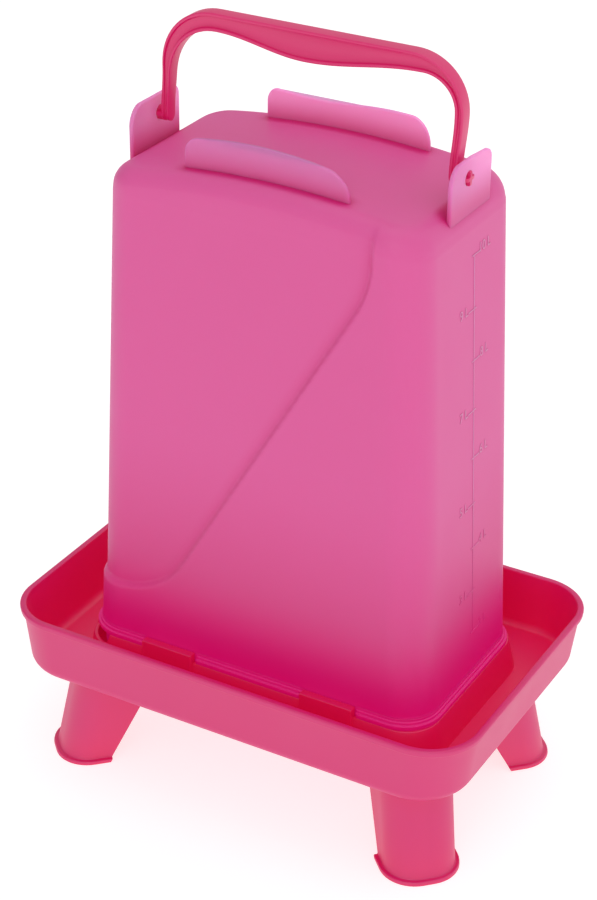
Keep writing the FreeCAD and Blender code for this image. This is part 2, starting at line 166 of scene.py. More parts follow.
# Legs
LEG_WIDTH = 48.0 * MM
LEG_CORNER = 20.0 * MM
LEG_END_INSET = 35.8 * MM
LEG_SIDE_INSET = 34.1 * MM
LEG_FOOT_FRONT = 13.0 * MM
LEG_TOP_FRONT = -3.0 * MM
LEG_FOOT_BACK = 18.0 * MM
LEG_TOP_BACK = 58.0 * MM
FOOT_REACH = 2.8 * MM
FOOT_HEIGHT = 3.0 * MM
BOSS_HEIGHT = 14.0 * MM
BOSS_BACK = 44.0 * MM


# --- Camera ---------------------------------------------------------------------------------------
def make_camera():
    """Camera at the viewing angle, a little to the right and well above the tray."""
    azimuth = math.radians(29.28)
    elevation = math.radians(29.12)
    roll = math.radians(0.59)
    back = Vector((math.sin(azimuth) * math.cos(elevation),
                   -math.cos(azimuth) * math.cos(elevation), math.sin(elevation)))
    right = Vector((math.cos(azimuth), math.sin(azimuth), 0.0))
    up = back.cross(right)
    turned_right = right * math.cos(roll) + up * math.sin(roll)
    turned_up = up * math.cos(roll) - right * math.sin(roll)
    data = bpy.data.cameras.new("camera")
    data.lens = 90.15
    data.sensor_width = 36.0
    camera = bpy.data.objects.new("camera", data)
    camera.matrix_world = Matrix((turned_right, turned_up, back)).transposed().to_4x4()
    camera.location = (0.6205, -1.1137, 0.9457)
    bpy.context.scene.collection.objects.link(camera)
    bpy.context.scene.camera = camera


# --- Materials ------------------------------------------------------------------------------------
def new_material(name):
    """Empty node material: (material, nodes, links, shader)."""
    material = bpy.data.materials.new(name)
    material.use_nodes = True
    nodes = material.node_tree.nodes
    return material, nodes, material.node_tree.links, nodes["Principled BSDF"]


def noise(nodes, links, scale, detail=3.0):
    """Noise texture over the object's own coordinates."""
    place = nodes.new("ShaderNodeTexCoord")
    texture = nodes.new("ShaderNodeTexNoise")
    texture.inputs["Scale"].default_value = scale
    texture.inputs["Detail"].default_value = detail
    links.new(place.outputs["Object"], texture.inputs["Vector"])
    return texture.outputs["Fac"]


def remap(nodes, links, value, low, high):
    """Spreads a 0 to 1 value over low to high."""
    node = nodes.new("ShaderNodeMapRange")
    node.inputs["To Min"].default_value = low
    node.inputs["To Max"].default_value = high
    links.new(value, node.inputs["Value"])
    return node.outputs["Result"]


def moulded_surface(nodes, links, shader, rough_low, rough_high):
    """Fine spark-eroded grain and slow unevenness of a moulding, in bump and roughness."""
    grain = noise(nodes, links, 1400.0, 2.0)
    wave = noise(nodes, links, 14.0, 1.0)
    slow = nodes.new("ShaderNodeBump")
    slow.inputs["Strength"].default_value = 0.10
    slow.inputs["Distance"].default_value = 0.6 * MM
    links.new(wave, slow.inputs["Height"])
    fine = nodes.new("ShaderNodeBump")
    fine.inputs["Strength"].default_value = 0.12
    fine.inputs["Distance"].default_value = 0.05 * MM
    links.new(grain, fine.inputs["Height"])
    links.new(slow.outputs["Normal"], fine.inputs["Normal"])
    links.new(fine.outputs["Normal"], shader.inputs["Normal"])
    patches = noise(nodes, links, 30.0, 4.0)
    links.new(remap(nodes, links, patches, rough_low, rough_high), shader.inputs["Roughness"])


def tinted(nodes, links, first, second, scale):
    """Colour that drifts between two close tints."""
    mix = nodes.new("ShaderNodeMix")
    mix.data_type = "RGBA"
    mix.inputs["A"].default_value = (*first, 1.0)
    mix.inputs["B"].default_value = (*second, 1.0)
    links.new(noise(nodes, links, scale), mix.inputs["Factor"])
    return mix.outputs["Result"]


def pink_sheen(shader):
    """Gloss of the opaque mouldings, and a painted glow: a weak pink emission that stands in for light
    scattered inside them.
    """
    shader.inputs["Specular IOR Level"].default_value = 0.95
    shader.inputs["Specular Tint"].default_value = (0.75, 0.92, 1.0, 1.0)
    # Painted glow: pink emission in place of light scattered inside the plastic.
    shader.inputs["Emission Color"].default_value = (1.0, 0.0, 0.10, 1.0)
    shader.inputs["Emission Strength"].default_value = 0.10


def tray_plastic():
    """Opaque deep pink polypropylene, with painted shade deepening its hollows."""
    material, nodes, links, shader = new_material("tray_plastic")
    colour = tinted(nodes, links, (0.57, 0.0012, 0.130), (0.60, 0.0020, 0.140), 9.0)
    # Painted shade: hollows and inner walls deepen to a saturated pink within 70 mm of facing surfaces.
    colour = creased(nodes, links, colour, (0.72, 0.0, 0.085), 70.0 * MM, 0.25)
    links.new(colour, shader.inputs["Base Color"])
    moulded_surface(nodes, links, shader, 0.40, 0.50)
    shader.inputs["Subsurface Weight"].default_value = 0.15
    shader.inputs["Subsurface Radius"].default_value = (1.0, 0.15, 0.3)
    shader.inputs["Subsurface Scale"].default_value = 3.0 * MM
    # Real gloss plus a painted pink glow.
    pink_sheen(shader)
    return material


def handle_plastic():
    """Opaque deep pink polypropylene of the bail, a touch glossier than the tray."""
    material, nodes, links, shader = new_material("handle_plastic")
    colour = tinted(nodes, links, (0.61, 0.0012, 0.120), (0.64, 0.0020, 0.130), 12.0)
    links.new(colour, shader.inputs["Base Color"])
    moulded_surface(nodes, links, shader, 0.34, 0.44)
    # Real gloss plus a painted pink glow.
    pink_sheen(shader)
    return material


def eased(nodes, links, value, low, high, at_low, at_high):
    """Smooth ramp from at_low to at_high as the value goes from low to high."""
    node = nodes.new("ShaderNodeMapRange")
    node.interpolation_type = "SMOOTHSTEP"
    node.inputs["From Min"].default_value = low
    node.inputs["From Max"].default_value = high
    node.inputs["To Min"].default_value = at_low
    node.inputs["To Max"].default_value = at_high
    links.new(value, node.inputs["Value"])
    return node.outputs["Result"]


def blend(nodes, links, share, first, second):
    """Colour between two colours."""
    mix = nodes.new("ShaderNodeMix")
    mix.data_type = "RGBA"
    links.new(share, mix.inputs["Factor"])
    links.new(first, mix.inputs["A"])
    links.new(second, mix.inputs["B"])
    return mix.outputs["Result"]


def arithmetic(nodes, links, operation, first, second):
    """Sum, product or other operation on two values or sockets."""
    node = nodes.new("ShaderNodeMath")
    node.operation = operation
    for slot, value in enumerate((first, second)):
        if isinstance(value, float):
            node.inputs[slot].default_value = value
        else:
            links.new(value, node.inputs[slot])
    return node.outputs["Value"]


def place_axes(nodes, links):
    """X, Y and Z of the shaded point in the frame."""
    place = nodes.new("ShaderNodeTexCoord")
    split = nodes.new("ShaderNodeSeparateXYZ")
    links.new(place.outputs["Object"], split.inputs["Vector"])
    return split.outputs


def creased(nodes, links, colour, shade_colour, reach, tightest):
    """Painted shade: the colour, deepened towards a saturated shade colour where surfaces closer than the
    reach meet, standing in for shade and bounced pink light in creases.
    """
    # Ambient occlusion drives the painted shade.
    shelter = nodes.new("ShaderNodeAmbientOcclusion")
    shelter.samples = 8
    shelter.inputs["Distance"].default_value = reach
    deep = tinted(nodes, links, shade_colour, [1.03 * part for part in shade_colour], TINT_DRIFT)
    share = eased(nodes, links, shelter.outputs["AO"], tightest, 0.98, 1.0, 0.0)
    return blend(nodes, links, share, colour, deep)


def glowing(shader, weight, depth):
    """Light that travels through the plastic."""
    shader.inputs["Subsurface Weight"].default_value = weight
    shader.inputs["Subsurface Radius"].default_value = (1.0, 0.5, 0.8)
    shader.inputs["Subsurface Scale"].default_value = depth


def tank_plastic(name, highlight_lift):
    """Milky translucent pink, painted deeper and given a painted glow towards the mouth in place of the
    tray's pink light shining through; a positive lift paints it paler, a painted highlight.
    """
    material, nodes, links, shader = new_material(name)
    pale = tinted(nodes, links, (0.73, 0.092 + highlight_lift, 0.325 + highlight_lift), (0.75, 0.098 + highlight_lift, 0.340 + highlight_lift),
                  TINT_DRIFT)
    middling = tinted(nodes, links, (0.68, 0.048, 0.240), (0.70, 0.054, 0.250), TINT_DRIFT)
    deep = tinted(nodes, links, (0.64, 0.002, 0.165), (0.66, 0.003, 0.175), TINT_DRIFT)
    # Painted light: pale at the crown, deep pink at the mouth, standing in for light from the tray shining
    # through.
    z = place_axes(nodes, links)["Z"]
    upper = eased(nodes, links, z, FLANGE_TOP_Z + 25.0 * MM, FLANGE_TOP_Z + 165.0 * MM, 1.0, 0.0)
    painted_glow_share = eased(nodes, links, z, FLANGE_TOP_Z - 6.0 * MM, FLANGE_TOP_Z + 66.0 * MM, 1.0, 0.0)
    colour = blend(nodes, links, upper, pale, middling)
    colour = blend(nodes, links, painted_glow_share, colour, deep)
    # Painted shade: creases such as the relief step, fin roots and flange ridges deepen within 9 mm.
    if highlight_lift == 0.0:
        colour = creased(nodes, links, colour, (0.64, 0.008, 0.180), 9.0 * MM, 0.80)
    links.new(colour, shader.inputs["Base Color"])
    moulded_surface(nodes, links, shader, 0.42, 0.52)
    glowing(shader, 0.3, 4.0 * MM)
    # Painted glow: pink emission towards the mouth, in place of light from the tray passing through the
    # plastic.
    shader.inputs["Emission Color"].default_value = (0.66, 0.0, 0.19, 1.0)
    links.new(arithmetic(nodes, links, "MULTIPLY", painted_glow_share, 0.24), shader.inputs["Emission Strength"])
    return material


def thin_tank_plastic():
    """The same plastic where it is thin: tank-coloured and painted a little darker at the root as shade,
    painted paler towards the free edge where light shines through, and given a painted glow towards the rear.
    """
    material, nodes, links, shader = new_material("tank_plastic_thin")
    root = tinted(nodes, links, (0.68, 0.070, 0.280), (0.70, 0.076, 0.290), TINT_DRIFT)
    edge = tinted(nodes, links, (0.76, 0.205, 0.500), (0.78, 0.215, 0.510), TINT_DRIFT)
    axes = place_axes(nodes, links)
    dome = arithmetic(nodes, links, "MULTIPLY", arithmetic(nodes, links, "MULTIPLY", axes["X"], axes["X"]),
                      0.5 / CROWN_RADIUS)
    height = arithmetic(nodes, links, "ADD", axes["Z"], dome)
    # Painted shade and light: darker at the root, paler towards the top edge.
    share = eased(nodes, links, height, CROWN_Z - 6.0 * MM, CROWN_Z + 19.0 * MM, 0.0, 1.0)
    links.new(blend(nodes, links, share, root, edge), shader.inputs["Base Color"])
    links.new(arithmetic(nodes, links, "SUBTRACT", 1.0, arithmetic(nodes, links, "MULTIPLY", share, 0.18)),
              shader.inputs["Alpha"])
    moulded_surface(nodes, links, shader, 0.42, 0.52)
    glowing(shader, 0.6, 6.0 * MM)
    # Painted glow: emission on the upper parts, stronger towards the rear, in place of light from behind
    # shining through.
    painted_backlight = eased(nodes, links, axes["Y"], -45.0 * MM, 40.0 * MM, 0.0, 0.30)
    shader.inputs["Emission Color"].default_value = (0.80, 0.38, 0.66, 1.0)
    links.new(arithmetic(nodes, links, "MULTIPLY", share, painted_backlight), shader.inputs["Emission Strength"])
    return material


# --- Mesh helpers ---------------------------------------------------------------------------------
def new_object(name, points, faces, material, body, node):
    """Smooth-shaded piece that rides on a body and stands for a CAD node."""
    mesh = bpy.data.meshes.new(name)
    mesh.from_pydata([tuple(point) for point in points], [], faces)
    mesh.validate()
    mesh.shade_smooth()
    mesh.materials.append(material)
    piece = bpy.data.objects.new(name, mesh)
    bpy.context.scene.collection.objects.link(piece)
    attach(piece, body)
    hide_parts(node)
    return piece


def skin(rings, wrap=False, first_cap=False, last_cap=False):
    """Quads between closed rings of equal length: (points, faces). wrap joins the last to the first."""
    count = len(rings[0])
    points = [tuple(point) for ring in rings for point in ring]
    faces = []
    spans = len(rings) if wrap else len(rings) - 1
    for row in range(spans):
        start = row * count
        above = ((row + 1) % len(rings)) * count
        for i in range(count):
            j = (i + 1) % count
            faces.append((start + i, start + j, above + j, above + i))
    if first_cap:
        faces.append(tuple(reversed(range(count))))
    if last_cap:
        top = (len(rings) - 1) * count
        faces.append(tuple(range(top, top + count)))
    return points, faces


def joined(parts):
    """Several (points, faces) pairs as one."""
    points = []
    faces = []
    for part_points, part_faces in parts:
        shift = len(points)
        points.extend(part_points)
        faces.extend(tuple(index + shift for index in face) for face in part_faces)
    return points, faces


def plan(half_x, half_y, radius, corner_steps=10, x_steps=12, y_steps=12):
    """Round-cornered rectangle, counterclockwise from the right side's foot: rows of (x, y, nx, ny)."""
    radius = max(min(radius, half_x, half_y), 1e-6)
    rows = []
    centres = [(half_x - radius, half_y - radius), (radius - half_x, half_y - radius),
               (radius - half_x, radius - half_y), (half_x - radius, radius - half_y)]
    for quarter, (cx, cy) in enumerate(centres):
        for step in range(corner_steps + 1):
            angle = math.pi / 2 * (quarter + step / corner_steps)
            nx, ny = math.cos(angle), math.sin(angle)
            rows.append((cx + radius * nx, cy + radius * ny, nx, ny))
        next_x, next_y = centres[(quarter + 1) % 4]
        nx, ny = math.cos(math.pi / 2 * (quarter + 1)), math.sin(math.pi / 2 * (quarter + 1))
        steps = x_steps if quarter % 2 == 0 else y_steps
        for step in range(1, steps):
            share = step / steps
            x = cx + (next_x - cx) * share + radius * nx
            y = cy + (next_y - cy) * share + radius * ny
            rows.append((x, y, nx, ny))
    return np.array(rows)


def bend(centre_reach, centre_z, radius, start, end, steps=5):
    """Arc of a wall's profile: (reach, z) pairs, 0 degrees outwards and 90 up."""
    turns = [math.radians(start + (end - start) * step / steps) for step in range(steps + 1)]
    return [(centre_reach + radius * math.cos(turn), centre_z + radius * math.sin(turn)) for turn in turns]


def smooth_by_angle(piece, degrees):
    """Keeps edges sharper than the angle crisp."""
    piece.data.set_sharp_from_angle(angle=math.radians(degrees))


# --- Tank -----------------------------------------------------------------------------------------
def wall_half(z):
    """Half length and half depth of the tank's outer wall at height z."""
    return (MOUTH_X - (z - SEAT_Z) * math.tan(END_DRAFT), MOUTH_Y - (z - SEAT_Z) * math.tan(FACE_DRAFT))


def crown_height(x):
    """Top of the crown at x."""
    return CROWN_Z - CROWN_RADIUS + np.sqrt(CROWN_RADIUS ** 2 - x ** 2)


def relief_path():
    """The relief line in X and Z: straight runs joined by two arcs, finely divided."""
    knee = np.array((wall_half(CROWN_Z)[0] - RELIEF_MARGIN, CROWN_Z - RELIEF_KNEE_DROP))
    foot = np.array((-MOUTH_X + RELIEF_FOOT_MARGIN, SEAT_Z + RELIEF_FOOT_RISE))
    start = np.array((knee[0], CROWN_Z + SHOULDER))
    end = np.array((-2 * MOUTH_X, foot[1]))
    line = [start]
    for before, corner, after, radius in ((start, knee, foot, RELIEF_KNEE_RADIUS),
                                          (knee, foot, end, RELIEF_FOOT_RADIUS)):
        back = (before - corner) / np.linalg.norm(before - corner)
        ahead = (after - corner) / np.linalg.norm(after - corner)
        half_angle = math.acos(float(back @ ahead)) / 2
        bisector = (back + ahead) / np.linalg.norm(back + ahead)
        centre = corner + bisector * radius / math.sin(half_angle)
        first = corner + back * radius / math.tan(half_angle) - centre
        last = corner + ahead * radius / math.tan(half_angle) - centre
        sweep = math.pi - 2 * half_angle
        for step in range(25):
            share = step / 24
            point = (first * math.sin((1 - share) * sweep) + last * math.sin(share * sweep)) / math.sin(sweep)
            line.append(centre + point)
    line.append(end)
    return np.array(line)


RELIEF = relief_path()


def relief_share(x, z):
    """1 where the tank's wall lies deep, 0 where it is proud, with a soft step between."""
    place = np.stack((x, z), axis=1)
    nearest = np.full(len(place), np.inf)
    signed = np.zeros(len(place))
    for start, end in zip(RELIEF[:-1], RELIEF[1:]):
        along = end - start
        share = np.clip((place - start) @ along / (along @ along), 0.0, 1.0)
        gap = place - (start + share[:, None] * along)
        distance = np.hypot(gap[:, 0], gap[:, 1])
        side = along[0] * gap[:, 1] - along[1] * gap[:, 0]
        closer = distance < nearest
        nearest = np.where(closer, distance, nearest)
        signed = np.where(closer, np.where(side > 0, -distance, distance), signed)
    share = np.clip(signed / RELIEF_SOFTNESS + 0.5, 0.0, 1.0)
    return share ** 3 * (share * (6 * share - 15) + 10)


TANK_STEPS = {"corner_steps": 10, "x_steps": 120, "y_steps": 26}


def tank_wall_rows(depth, rows, shoulder_rows, crown_rows):
    """Rings up the tank's wall, over its shoulder and into the crown, set in by depth."""
    rings = []
    base_z = FLANGE_TOP_Z + 0.4 * MM
    top = wall_half(CROWN_Z - SHOULDER)
    flat = plan(top[0], top[1], TANK_CORNER, **TANK_STEPS)
    edge_z = crown_height(flat[:, 0]) - SHOULDER
    for row in range(rows + 1):
        z = base_z + (edge_z - base_z) * row / rows
        half_x, half_y = wall_half(z.mean())
        ring = plan(half_x, half_y, TANK_CORNER, **TANK_STEPS)
        # The wall leans, so each point follows its own height.
        lean = z - z.mean()
        ring[:, 0] -= ring[:, 2] * lean * math.tan(END_DRAFT)
        ring[:, 1] -= ring[:, 3] * lean * math.tan(FACE_DRAFT)
        inset = depth + RELIEF_DEPTH * relief_share(ring[:, 0], z)
        inset -= PARTING_RISE * np.exp(-((z - PARTING_Z) / PARTING_WIDTH) ** 2)
        rings.append(np.stack((ring[:, 0] - ring[:, 2] * inset, ring[:, 1] - ring[:, 3] * inset, z), axis=1))
    if depth:
        rings.pop()
    half_x, half_y = wall_half(CROWN_Z - SHOULDER)
    share = relief_share(flat[:, 0], edge_z)
    for row in range(1, shoulder_rows + 1):
        turn = math.pi / 2 * row / shoulder_rows
        radius = SHOULDER - depth - RELIEF_DEPTH * share
        inset = depth + RELIEF_DEPTH * share + radius * (1 - math.cos(turn))
        ring = flat.copy()
        x = ring[:, 0] - ring[:, 2] * inset
        y = ring[:, 1] - ring[:, 3] * inset
        z = crown_height(x) - depth - radius * (1 - math.sin(turn))
        rings.append(np.stack((x, y, z), axis=1))
    for row in range(1, crown_rows + 1):
        shrink = SHOULDER + (half_y - SHOULDER) * row / crown_rows
        ring = plan(half_x - shrink, max(half_y - shrink, 1e-5), TANK_CORNER - shrink, **TANK_STEPS)
        z = crown_height(ring[:, 0]) - depth
        rings.append(np.stack((ring[:, 0], ring[:, 1], z), axis=1))
    return rings


def mouth_rings():
    """Rings of the spigot and flange, from inside the mouth out and up to the wall."""
    spigot_z = SEAT_Z - SPIGOT_DROP
    rim_top = SEAT_Z + RIM_HEIGHT
    inner = -SPIGOT_INSET - WALL
    profile = [(inner, rim_top), (inner, SEAT_Z - SPIGOT_DROP / 2)]
    profile += bend(inner + 0.8 * MM, spigot_z + 0.8 * MM, 0.8 * MM, 180, 270)
    profile += bend(-SPIGOT_INSET - 0.8 * MM, spigot_z + 0.8 * MM, 0.8 * MM, 270, 360)
    profile += [(-SPIGOT_INSET, SEAT_Z - 0.5 * MM), (-SPIGOT_INSET + 0.2 * MM, SEAT_Z)]
    profile += bend(FLANGE_REACH - 0.5 * MM, SEAT_Z + 0.5 * MM, 0.5 * MM, 270, 360)
    profile += bend(FLANGE_REACH - 0.5 * MM, rim_top - 0.5 * MM, 0.5 * MM, 0, 90)
    for ridge in (1, 2):
        reach = FLANGE_REACH * (1 - ridge / 3) ** 2
        top = rim_top + ridge * RIDGE_HEIGHT
        profile += [(reach + 0.15 * MM, top - RIDGE_HEIGHT), (reach, top - RIDGE_HEIGHT + 0.2 * MM)]
        profile += bend(reach - 0.4 * MM, top - 0.4 * MM, 0.4 * MM, 0, 90)
    profile += [(0.1 * MM, FLANGE_TOP_Z)]
    rings = []
    for reach, z in profile:
        ring = plan(MOUTH_X + reach, MOUTH_Y + reach, TANK_CORNER + reach, **TANK_STEPS)
        if reach > 0:
            # The flange is gapped where the collar's catches stand.
            offset = np.abs(np.abs(ring[:, 0]) - CATCH_SPACING / 2)
            gap = (offset < CATCH_LENGTH / 2 + CATCH_SIDE_GAP) & (np.abs(ring[:, 3]) > SQUARE_ON)
            ring[:, 1] -= np.where(gap, ring[:, 3] * reach, 0.0)
        rings.append(np.stack((ring[:, 0], ring[:, 1], np.full(len(ring), z)), axis=1))
    return rings


def make_tank(material):
    """Tank shell: inside from the crown down, round the mouth, and up the outside."""
    inside = tank_wall_rows(WALL, 60, 8, 8)
    outside = tank_wall_rows(0.0, 165, 12, 16)
    points, faces = skin(list(reversed(inside)) + mouth_rings() + outside)
    return new_object("tank_shell", points, faces, material, "tank", "fount_tank")


def fin_top(x, side):
    """Height of a fin's top edge over the crown's middle: the front one is arched, the rear one waves."""
    if side < 0:
        return FIN_RISE + 0.3 * FIN_ARCH - FIN_ARCH * ((x - FIN_ARCH_X) / FIN_HALF_LENGTH) ** 2
    return FIN_RISE - 1.2 * FIN_WAVE + FIN_WAVE * np.sin(math.pi * (x - FIN_WAVE_X) / FIN_WAVE_HALF)


def plate_rings(low, high, rounds, thickness, top_at, root_at, place, rows=34):
    """Rings of an upright plate between low and high along its length, its top corners rounded.

    top_at and root_at give heights along the length; place turns (along, across, z) into X, Y and Z.
    """
    edge = 0.45 * thickness
    rings = []
    middle = (low + high) / 2
    tallest = float(top_at(np.array([middle]))[0] - root_at(np.array([middle]))[0])
    for row in range(-2, rows + 1):
        share = math.sin(math.pi / 2 * max(row, 0) / rows)
        from_top = (1 - share) * tallest
        ends = []
        for corner in rounds:
            rise = max(corner - from_top, 0.0)
            ends.append(corner - math.sqrt(max(corner ** 2 - rise ** 2, 0.0)))
        half = thickness / 2
        if from_top < edge:
            half -= edge - math.sqrt(edge ** 2 - (edge - from_top) ** 2)
        start, stop = low + ends[0], high - ends[1]
        ring = plan((stop - start) / 2, half, min(half, 1.1 * MM), corner_steps=4, x_steps=40, y_steps=2)
        along = ring[:, 0] + (start + stop) / 2
        root = root_at(along)
        z = root + (top_at(along) - root) * share
        if row < 0:
            z = z + 1.5 * MM * row
        rings.append(place(along, ring[:, 1], z))
    return rings


def make_fins(material):
    """Two grip fins along the crown."""
    middle_y = wall_half(CROWN_Z)[1] - FIN_FACE_INSET - FIN_THICKNESS / 2
    parts = []
    for side, rounds in zip((-1, 1), FIN_END_ROUNDS):
        rings = plate_rings(
            -FIN_HALF_LENGTH, FIN_HALF_LENGTH + max(side, 0) * REAR_FIN_REACH, rounds, FIN_THICKNESS,
            lambda x: CROWN_Z + fin_top(x, side), crown_height,
            lambda along, across, z: np.stack((along, side * middle_y + across, z), axis=1))
        parts.append(skin(rings, first_cap=True, last_cap=True))
    points, faces = joined(parts)
    fins = new_object("grip_fins", points, faces, material, "tank", "fount_tank")
    smooth_by_angle(fins, 45)
    return fins


def drilled(piece, radius, centre, length):
    """Cuts a round hole along X through the piece."""
    turns = [math.tau * step / 48 for step in range(48)]
    rings = []
    for x in (centre.x - length / 2, centre.x + length / 2):
        rings.append([(x, centre.y + radius * math.cos(t), centre.z + radius * math.sin(t)) for t in turns])
    points, faces = skin(rings, first_cap=True, last_cap=True)
    mesh = bpy.data.meshes.new("drill")
    mesh.from_pydata(points, [], faces)
    drill = bpy.data.objects.new("drill", mesh)
    bpy.context.scene.collection.objects.link(drill)
    cut = piece.modifiers.new("hole", "BOOLEAN")
    cut.operation = "DIFFERENCE"
    cut.solver = "EXACT"
    cut.object = drill
    bpy.context.view_layer.update()
    shaped = piece.evaluated_get(bpy.context.evaluated_depsgraph_get())
    result = bpy.data.meshes.new_from_object(shaped)
    piece.modifiers.clear()
    piece.data = result
    bpy.data.objects.remove(drill)


def ear_face_x():
    """Outer face of the ears."""
    return wall_half(CROWN_Z)[0] - EAR_FACE_INSET


def make_ear(side, material):
    """Handle ear at one end of the crown: side -1 is the left one."""
    name = "ear_left" if side < 0 else "ear_right"
    middle_x = side * (ear_face_x() - EAR_THICKNESS / 2)
    middle_y = side * EAR_SIDE_STEP
    root = float(crown_height(np.array([ear_face_x()]))[0]) - EAR_ROOT_DEPTH
    fall = EAR_TOP_FALL if side > 0 else 0.0
    rings = plate_rings(
        middle_y - EAR_HALF_WIDTH, middle_y + EAR_HALF_WIDTH, (EAR_FRONT_ROUND, EAR_REAR_ROUND),
        EAR_THICKNESS,
        lambda y: tank_high.z - fall * np.maximum(y - middle_y, 0.0), lambda y: np.full(len(y), root),
        lambda along, across, z: np.stack((middle_x - across, along, z), axis=1))
    points, faces = skin(rings, first_cap=True, last_cap=True)
    ear = new_object(name, points, faces, material, "tank", "fount_tank")
    drilled(ear, PIN_RADIUS + PIN_CLEARANCE, Vector((middle_x, 0.0, PIVOT_Z)), 4 * EAR_THICKNESS)
    smooth_by_angle(ear, 40)
    return ear


def raised_rib(start_y, end_y, start_z, end_z):
    """Low rounded rib on the right-hand wall, following its lean: (points, faces)."""
    half_y = (end_y - start_y) / 2
    half_z = (end_z - start_z) / 2
    rings = []
    for rise, trim in ((-0.3 * MM, 0.0), (0.5 * RIB_RISE, 0.0), (RIB_RISE, 0.25 * MM)):
        outline = plan(half_y - trim, half_z - trim, 0.1 * MM, 2, 2, 2)
        ring = []
        for row in outline:
            z = (start_z + end_z) / 2 + row[1]
            ring.append((wall_half(z)[0] + rise, (start_y + end_y) / 2 + row[0], z))
        rings.append(ring)
    return skin(rings, first_cap=True, last_cap=True)


def raised_numeral(number, middle_y, base_z):
    """Small raised numeral on the right-hand wall, read from the right: (points, faces)."""
    curve = bpy.data.curves.new("numeral", "FONT")
    curve.body = str(number) + " L"
    curve.size = NUMERAL_HEIGHT
    curve.extrude = 0.5 * RIB_RISE
    curve.align_x = "CENTER"
    letter = bpy.data.objects.new("numeral", curve)
    bpy.context.scene.collection.objects.link(letter)
    bpy.context.view_layer.update()
    mesh = bpy.data.meshes.new_from_object(letter.evaluated_get(bpy.context.evaluated_depsgraph_get()))
    points = []
    for vertex in mesh.vertices:
        z = base_z + vertex.co.y
        points.append((wall_half(z)[0] + 0.3 * RIB_RISE + vertex.co.z, middle_y + vertex.co.x, z))
    faces = [tuple(face.vertices) for face in mesh.polygons]
    bpy.data.objects.remove(letter)
    bpy.data.meshes.remove(mesh)
    return points, faces


def make_scale(material):
    """Litre scale on the right-hand wall: an upright line, a tick for each litre and its numeral."""
    parts = []
    level = SCALE_FULL_Z
    for litres in range(SCALE_FULL_LITRES, SCALE_LEAST_LITRES - 1, -1):
        side = 1 if litres % 2 == 0 else -1
        tail = SCALE_Y - side * TICK_TAIL
        tip = SCALE_Y + side * TICK_LENGTH
        parts.append(raised_rib(min(tail, tip), max(tail, tip), level - RIB_WIDTH / 2, level + RIB_WIDTH / 2))
        numeral_y = SCALE_Y + side * (TICK_LENGTH + NUMERAL_GAP)
        parts.append(raised_numeral(litres, numeral_y, level - NUMERAL_DROP))
        lowest = level
        half_x, half_y = wall_half(level)
        level -= LITRE / (4 * (half_x - WALL) * (half_y - WALL))
    parts.append(raised_rib(SCALE_Y - RIB_WIDTH / 2, SCALE_Y + RIB_WIDTH / 2, lowest, SCALE_FULL_Z))
    points, faces = joined(parts)
    scale = new_object("litre_scale", points, faces, material, "tank", "fount_tank")
    smooth_by_angle(scale, 30)
    return scale


# --- Handle ---------------------------------------------------------------------------------------
def bail_side(bow, corner, inner_corner):
    """Matching points on the bail's outer and inner outlines in X and Z, from a foot to the middle."""
    arm_x = ear_face_x() - EAR_THICKNESS - HANDLE_GAP
    top = handle_high.z - GRIP_SAG
    inner_x = arm_x - ARM_THICKNESS
    pairs = []
    for step in range(14):
        outer_z = PIVOT_Z + (top - corner - PIVOT_Z) * step / 14
        inner_z = PIVOT_Z + (top - GRIP_END - inner_corner - PIVOT_Z) * step / 14
        pairs.append(((arm_x, outer_z), (inner_x, inner_z)))
    for step in range(19):
        turn = math.pi / 2 * step / 18
        out = (1 - math.cos(turn), math.sin(turn) - 1)
        outer = (arm_x - corner * out[0], top + corner * out[1])
        inner = (inner_x - inner_corner * out[0], top - GRIP_END + inner_corner * out[1])
        pairs.append((outer, inner))
    for step in range(1, 25):
        share = step / 24
        belly = (1 - math.cos(math.pi * share)) / 2
        outer = ((arm_x - corner) * (1 - share), top)
        depth = GRIP_END + (GRIP_MIDDLE - GRIP_END) * belly
        pairs.append((outer, ((inner_x - inner_corner) * (1 - share), top - depth)))
    # The arm bows between its pivot and its corner.
    bowed = []
    for pair in pairs:
        ends = []
        for x, z in pair:
            rise = min(max((z - PIVOT_Z) / (top - corner - PIVOT_Z), 0.0), 1.0)
            ends.append((x + bow * rise * rise * (3 - 2 * rise) * x / arm_x, z))
        bowed.append(tuple(ends))
    return bowed


def bail_edges():
    """Outer and inner outline points of the whole bail, from the right foot over to the left."""
    right = bail_side(RIGHT_ARM_BOW, HANDLE_CORNER, 0.6 * HANDLE_CORNER)
    left = bail_side(LEFT_ARM_BOW, 1.1 * HANDLE_CORNER, HANDLE_CORNER)
    mirrored = [((-outer[0], outer[1]), (-inner[0], inner[1])) for outer, inner in left[-2::-1]]
    return right + mirrored


def rib_section(height, width):
    """I-shaped section: (depth from the outer edge, y) round the rib, with eased corners."""
    flange = min(HANDLE_FLANGE, 0.34 * height)
    half = width / 2
    web = HANDLE_WEB / 2
    ease = 0.8 * MM
    quarter = [(0.0, half - ease), (0.12 * ease, half - 0.5 * ease)]
    quarter += [(0.5 * ease, half - 0.12 * ease), (ease, half)]
    quarter += [(flange - 0.3 * ease, half), (flange, half - 0.3 * ease)]
    quarter += [(flange + 0.1 * ease, web + ease), (flange + 0.4 * ease, web + 0.35 * ease)]
    quarter += [(flange + ease, web)]
    top_half = quarter + [(height - depth, y) for depth, y in reversed(quarter)]
    return top_half + [(depth, -y) for depth, y in reversed(top_half)]


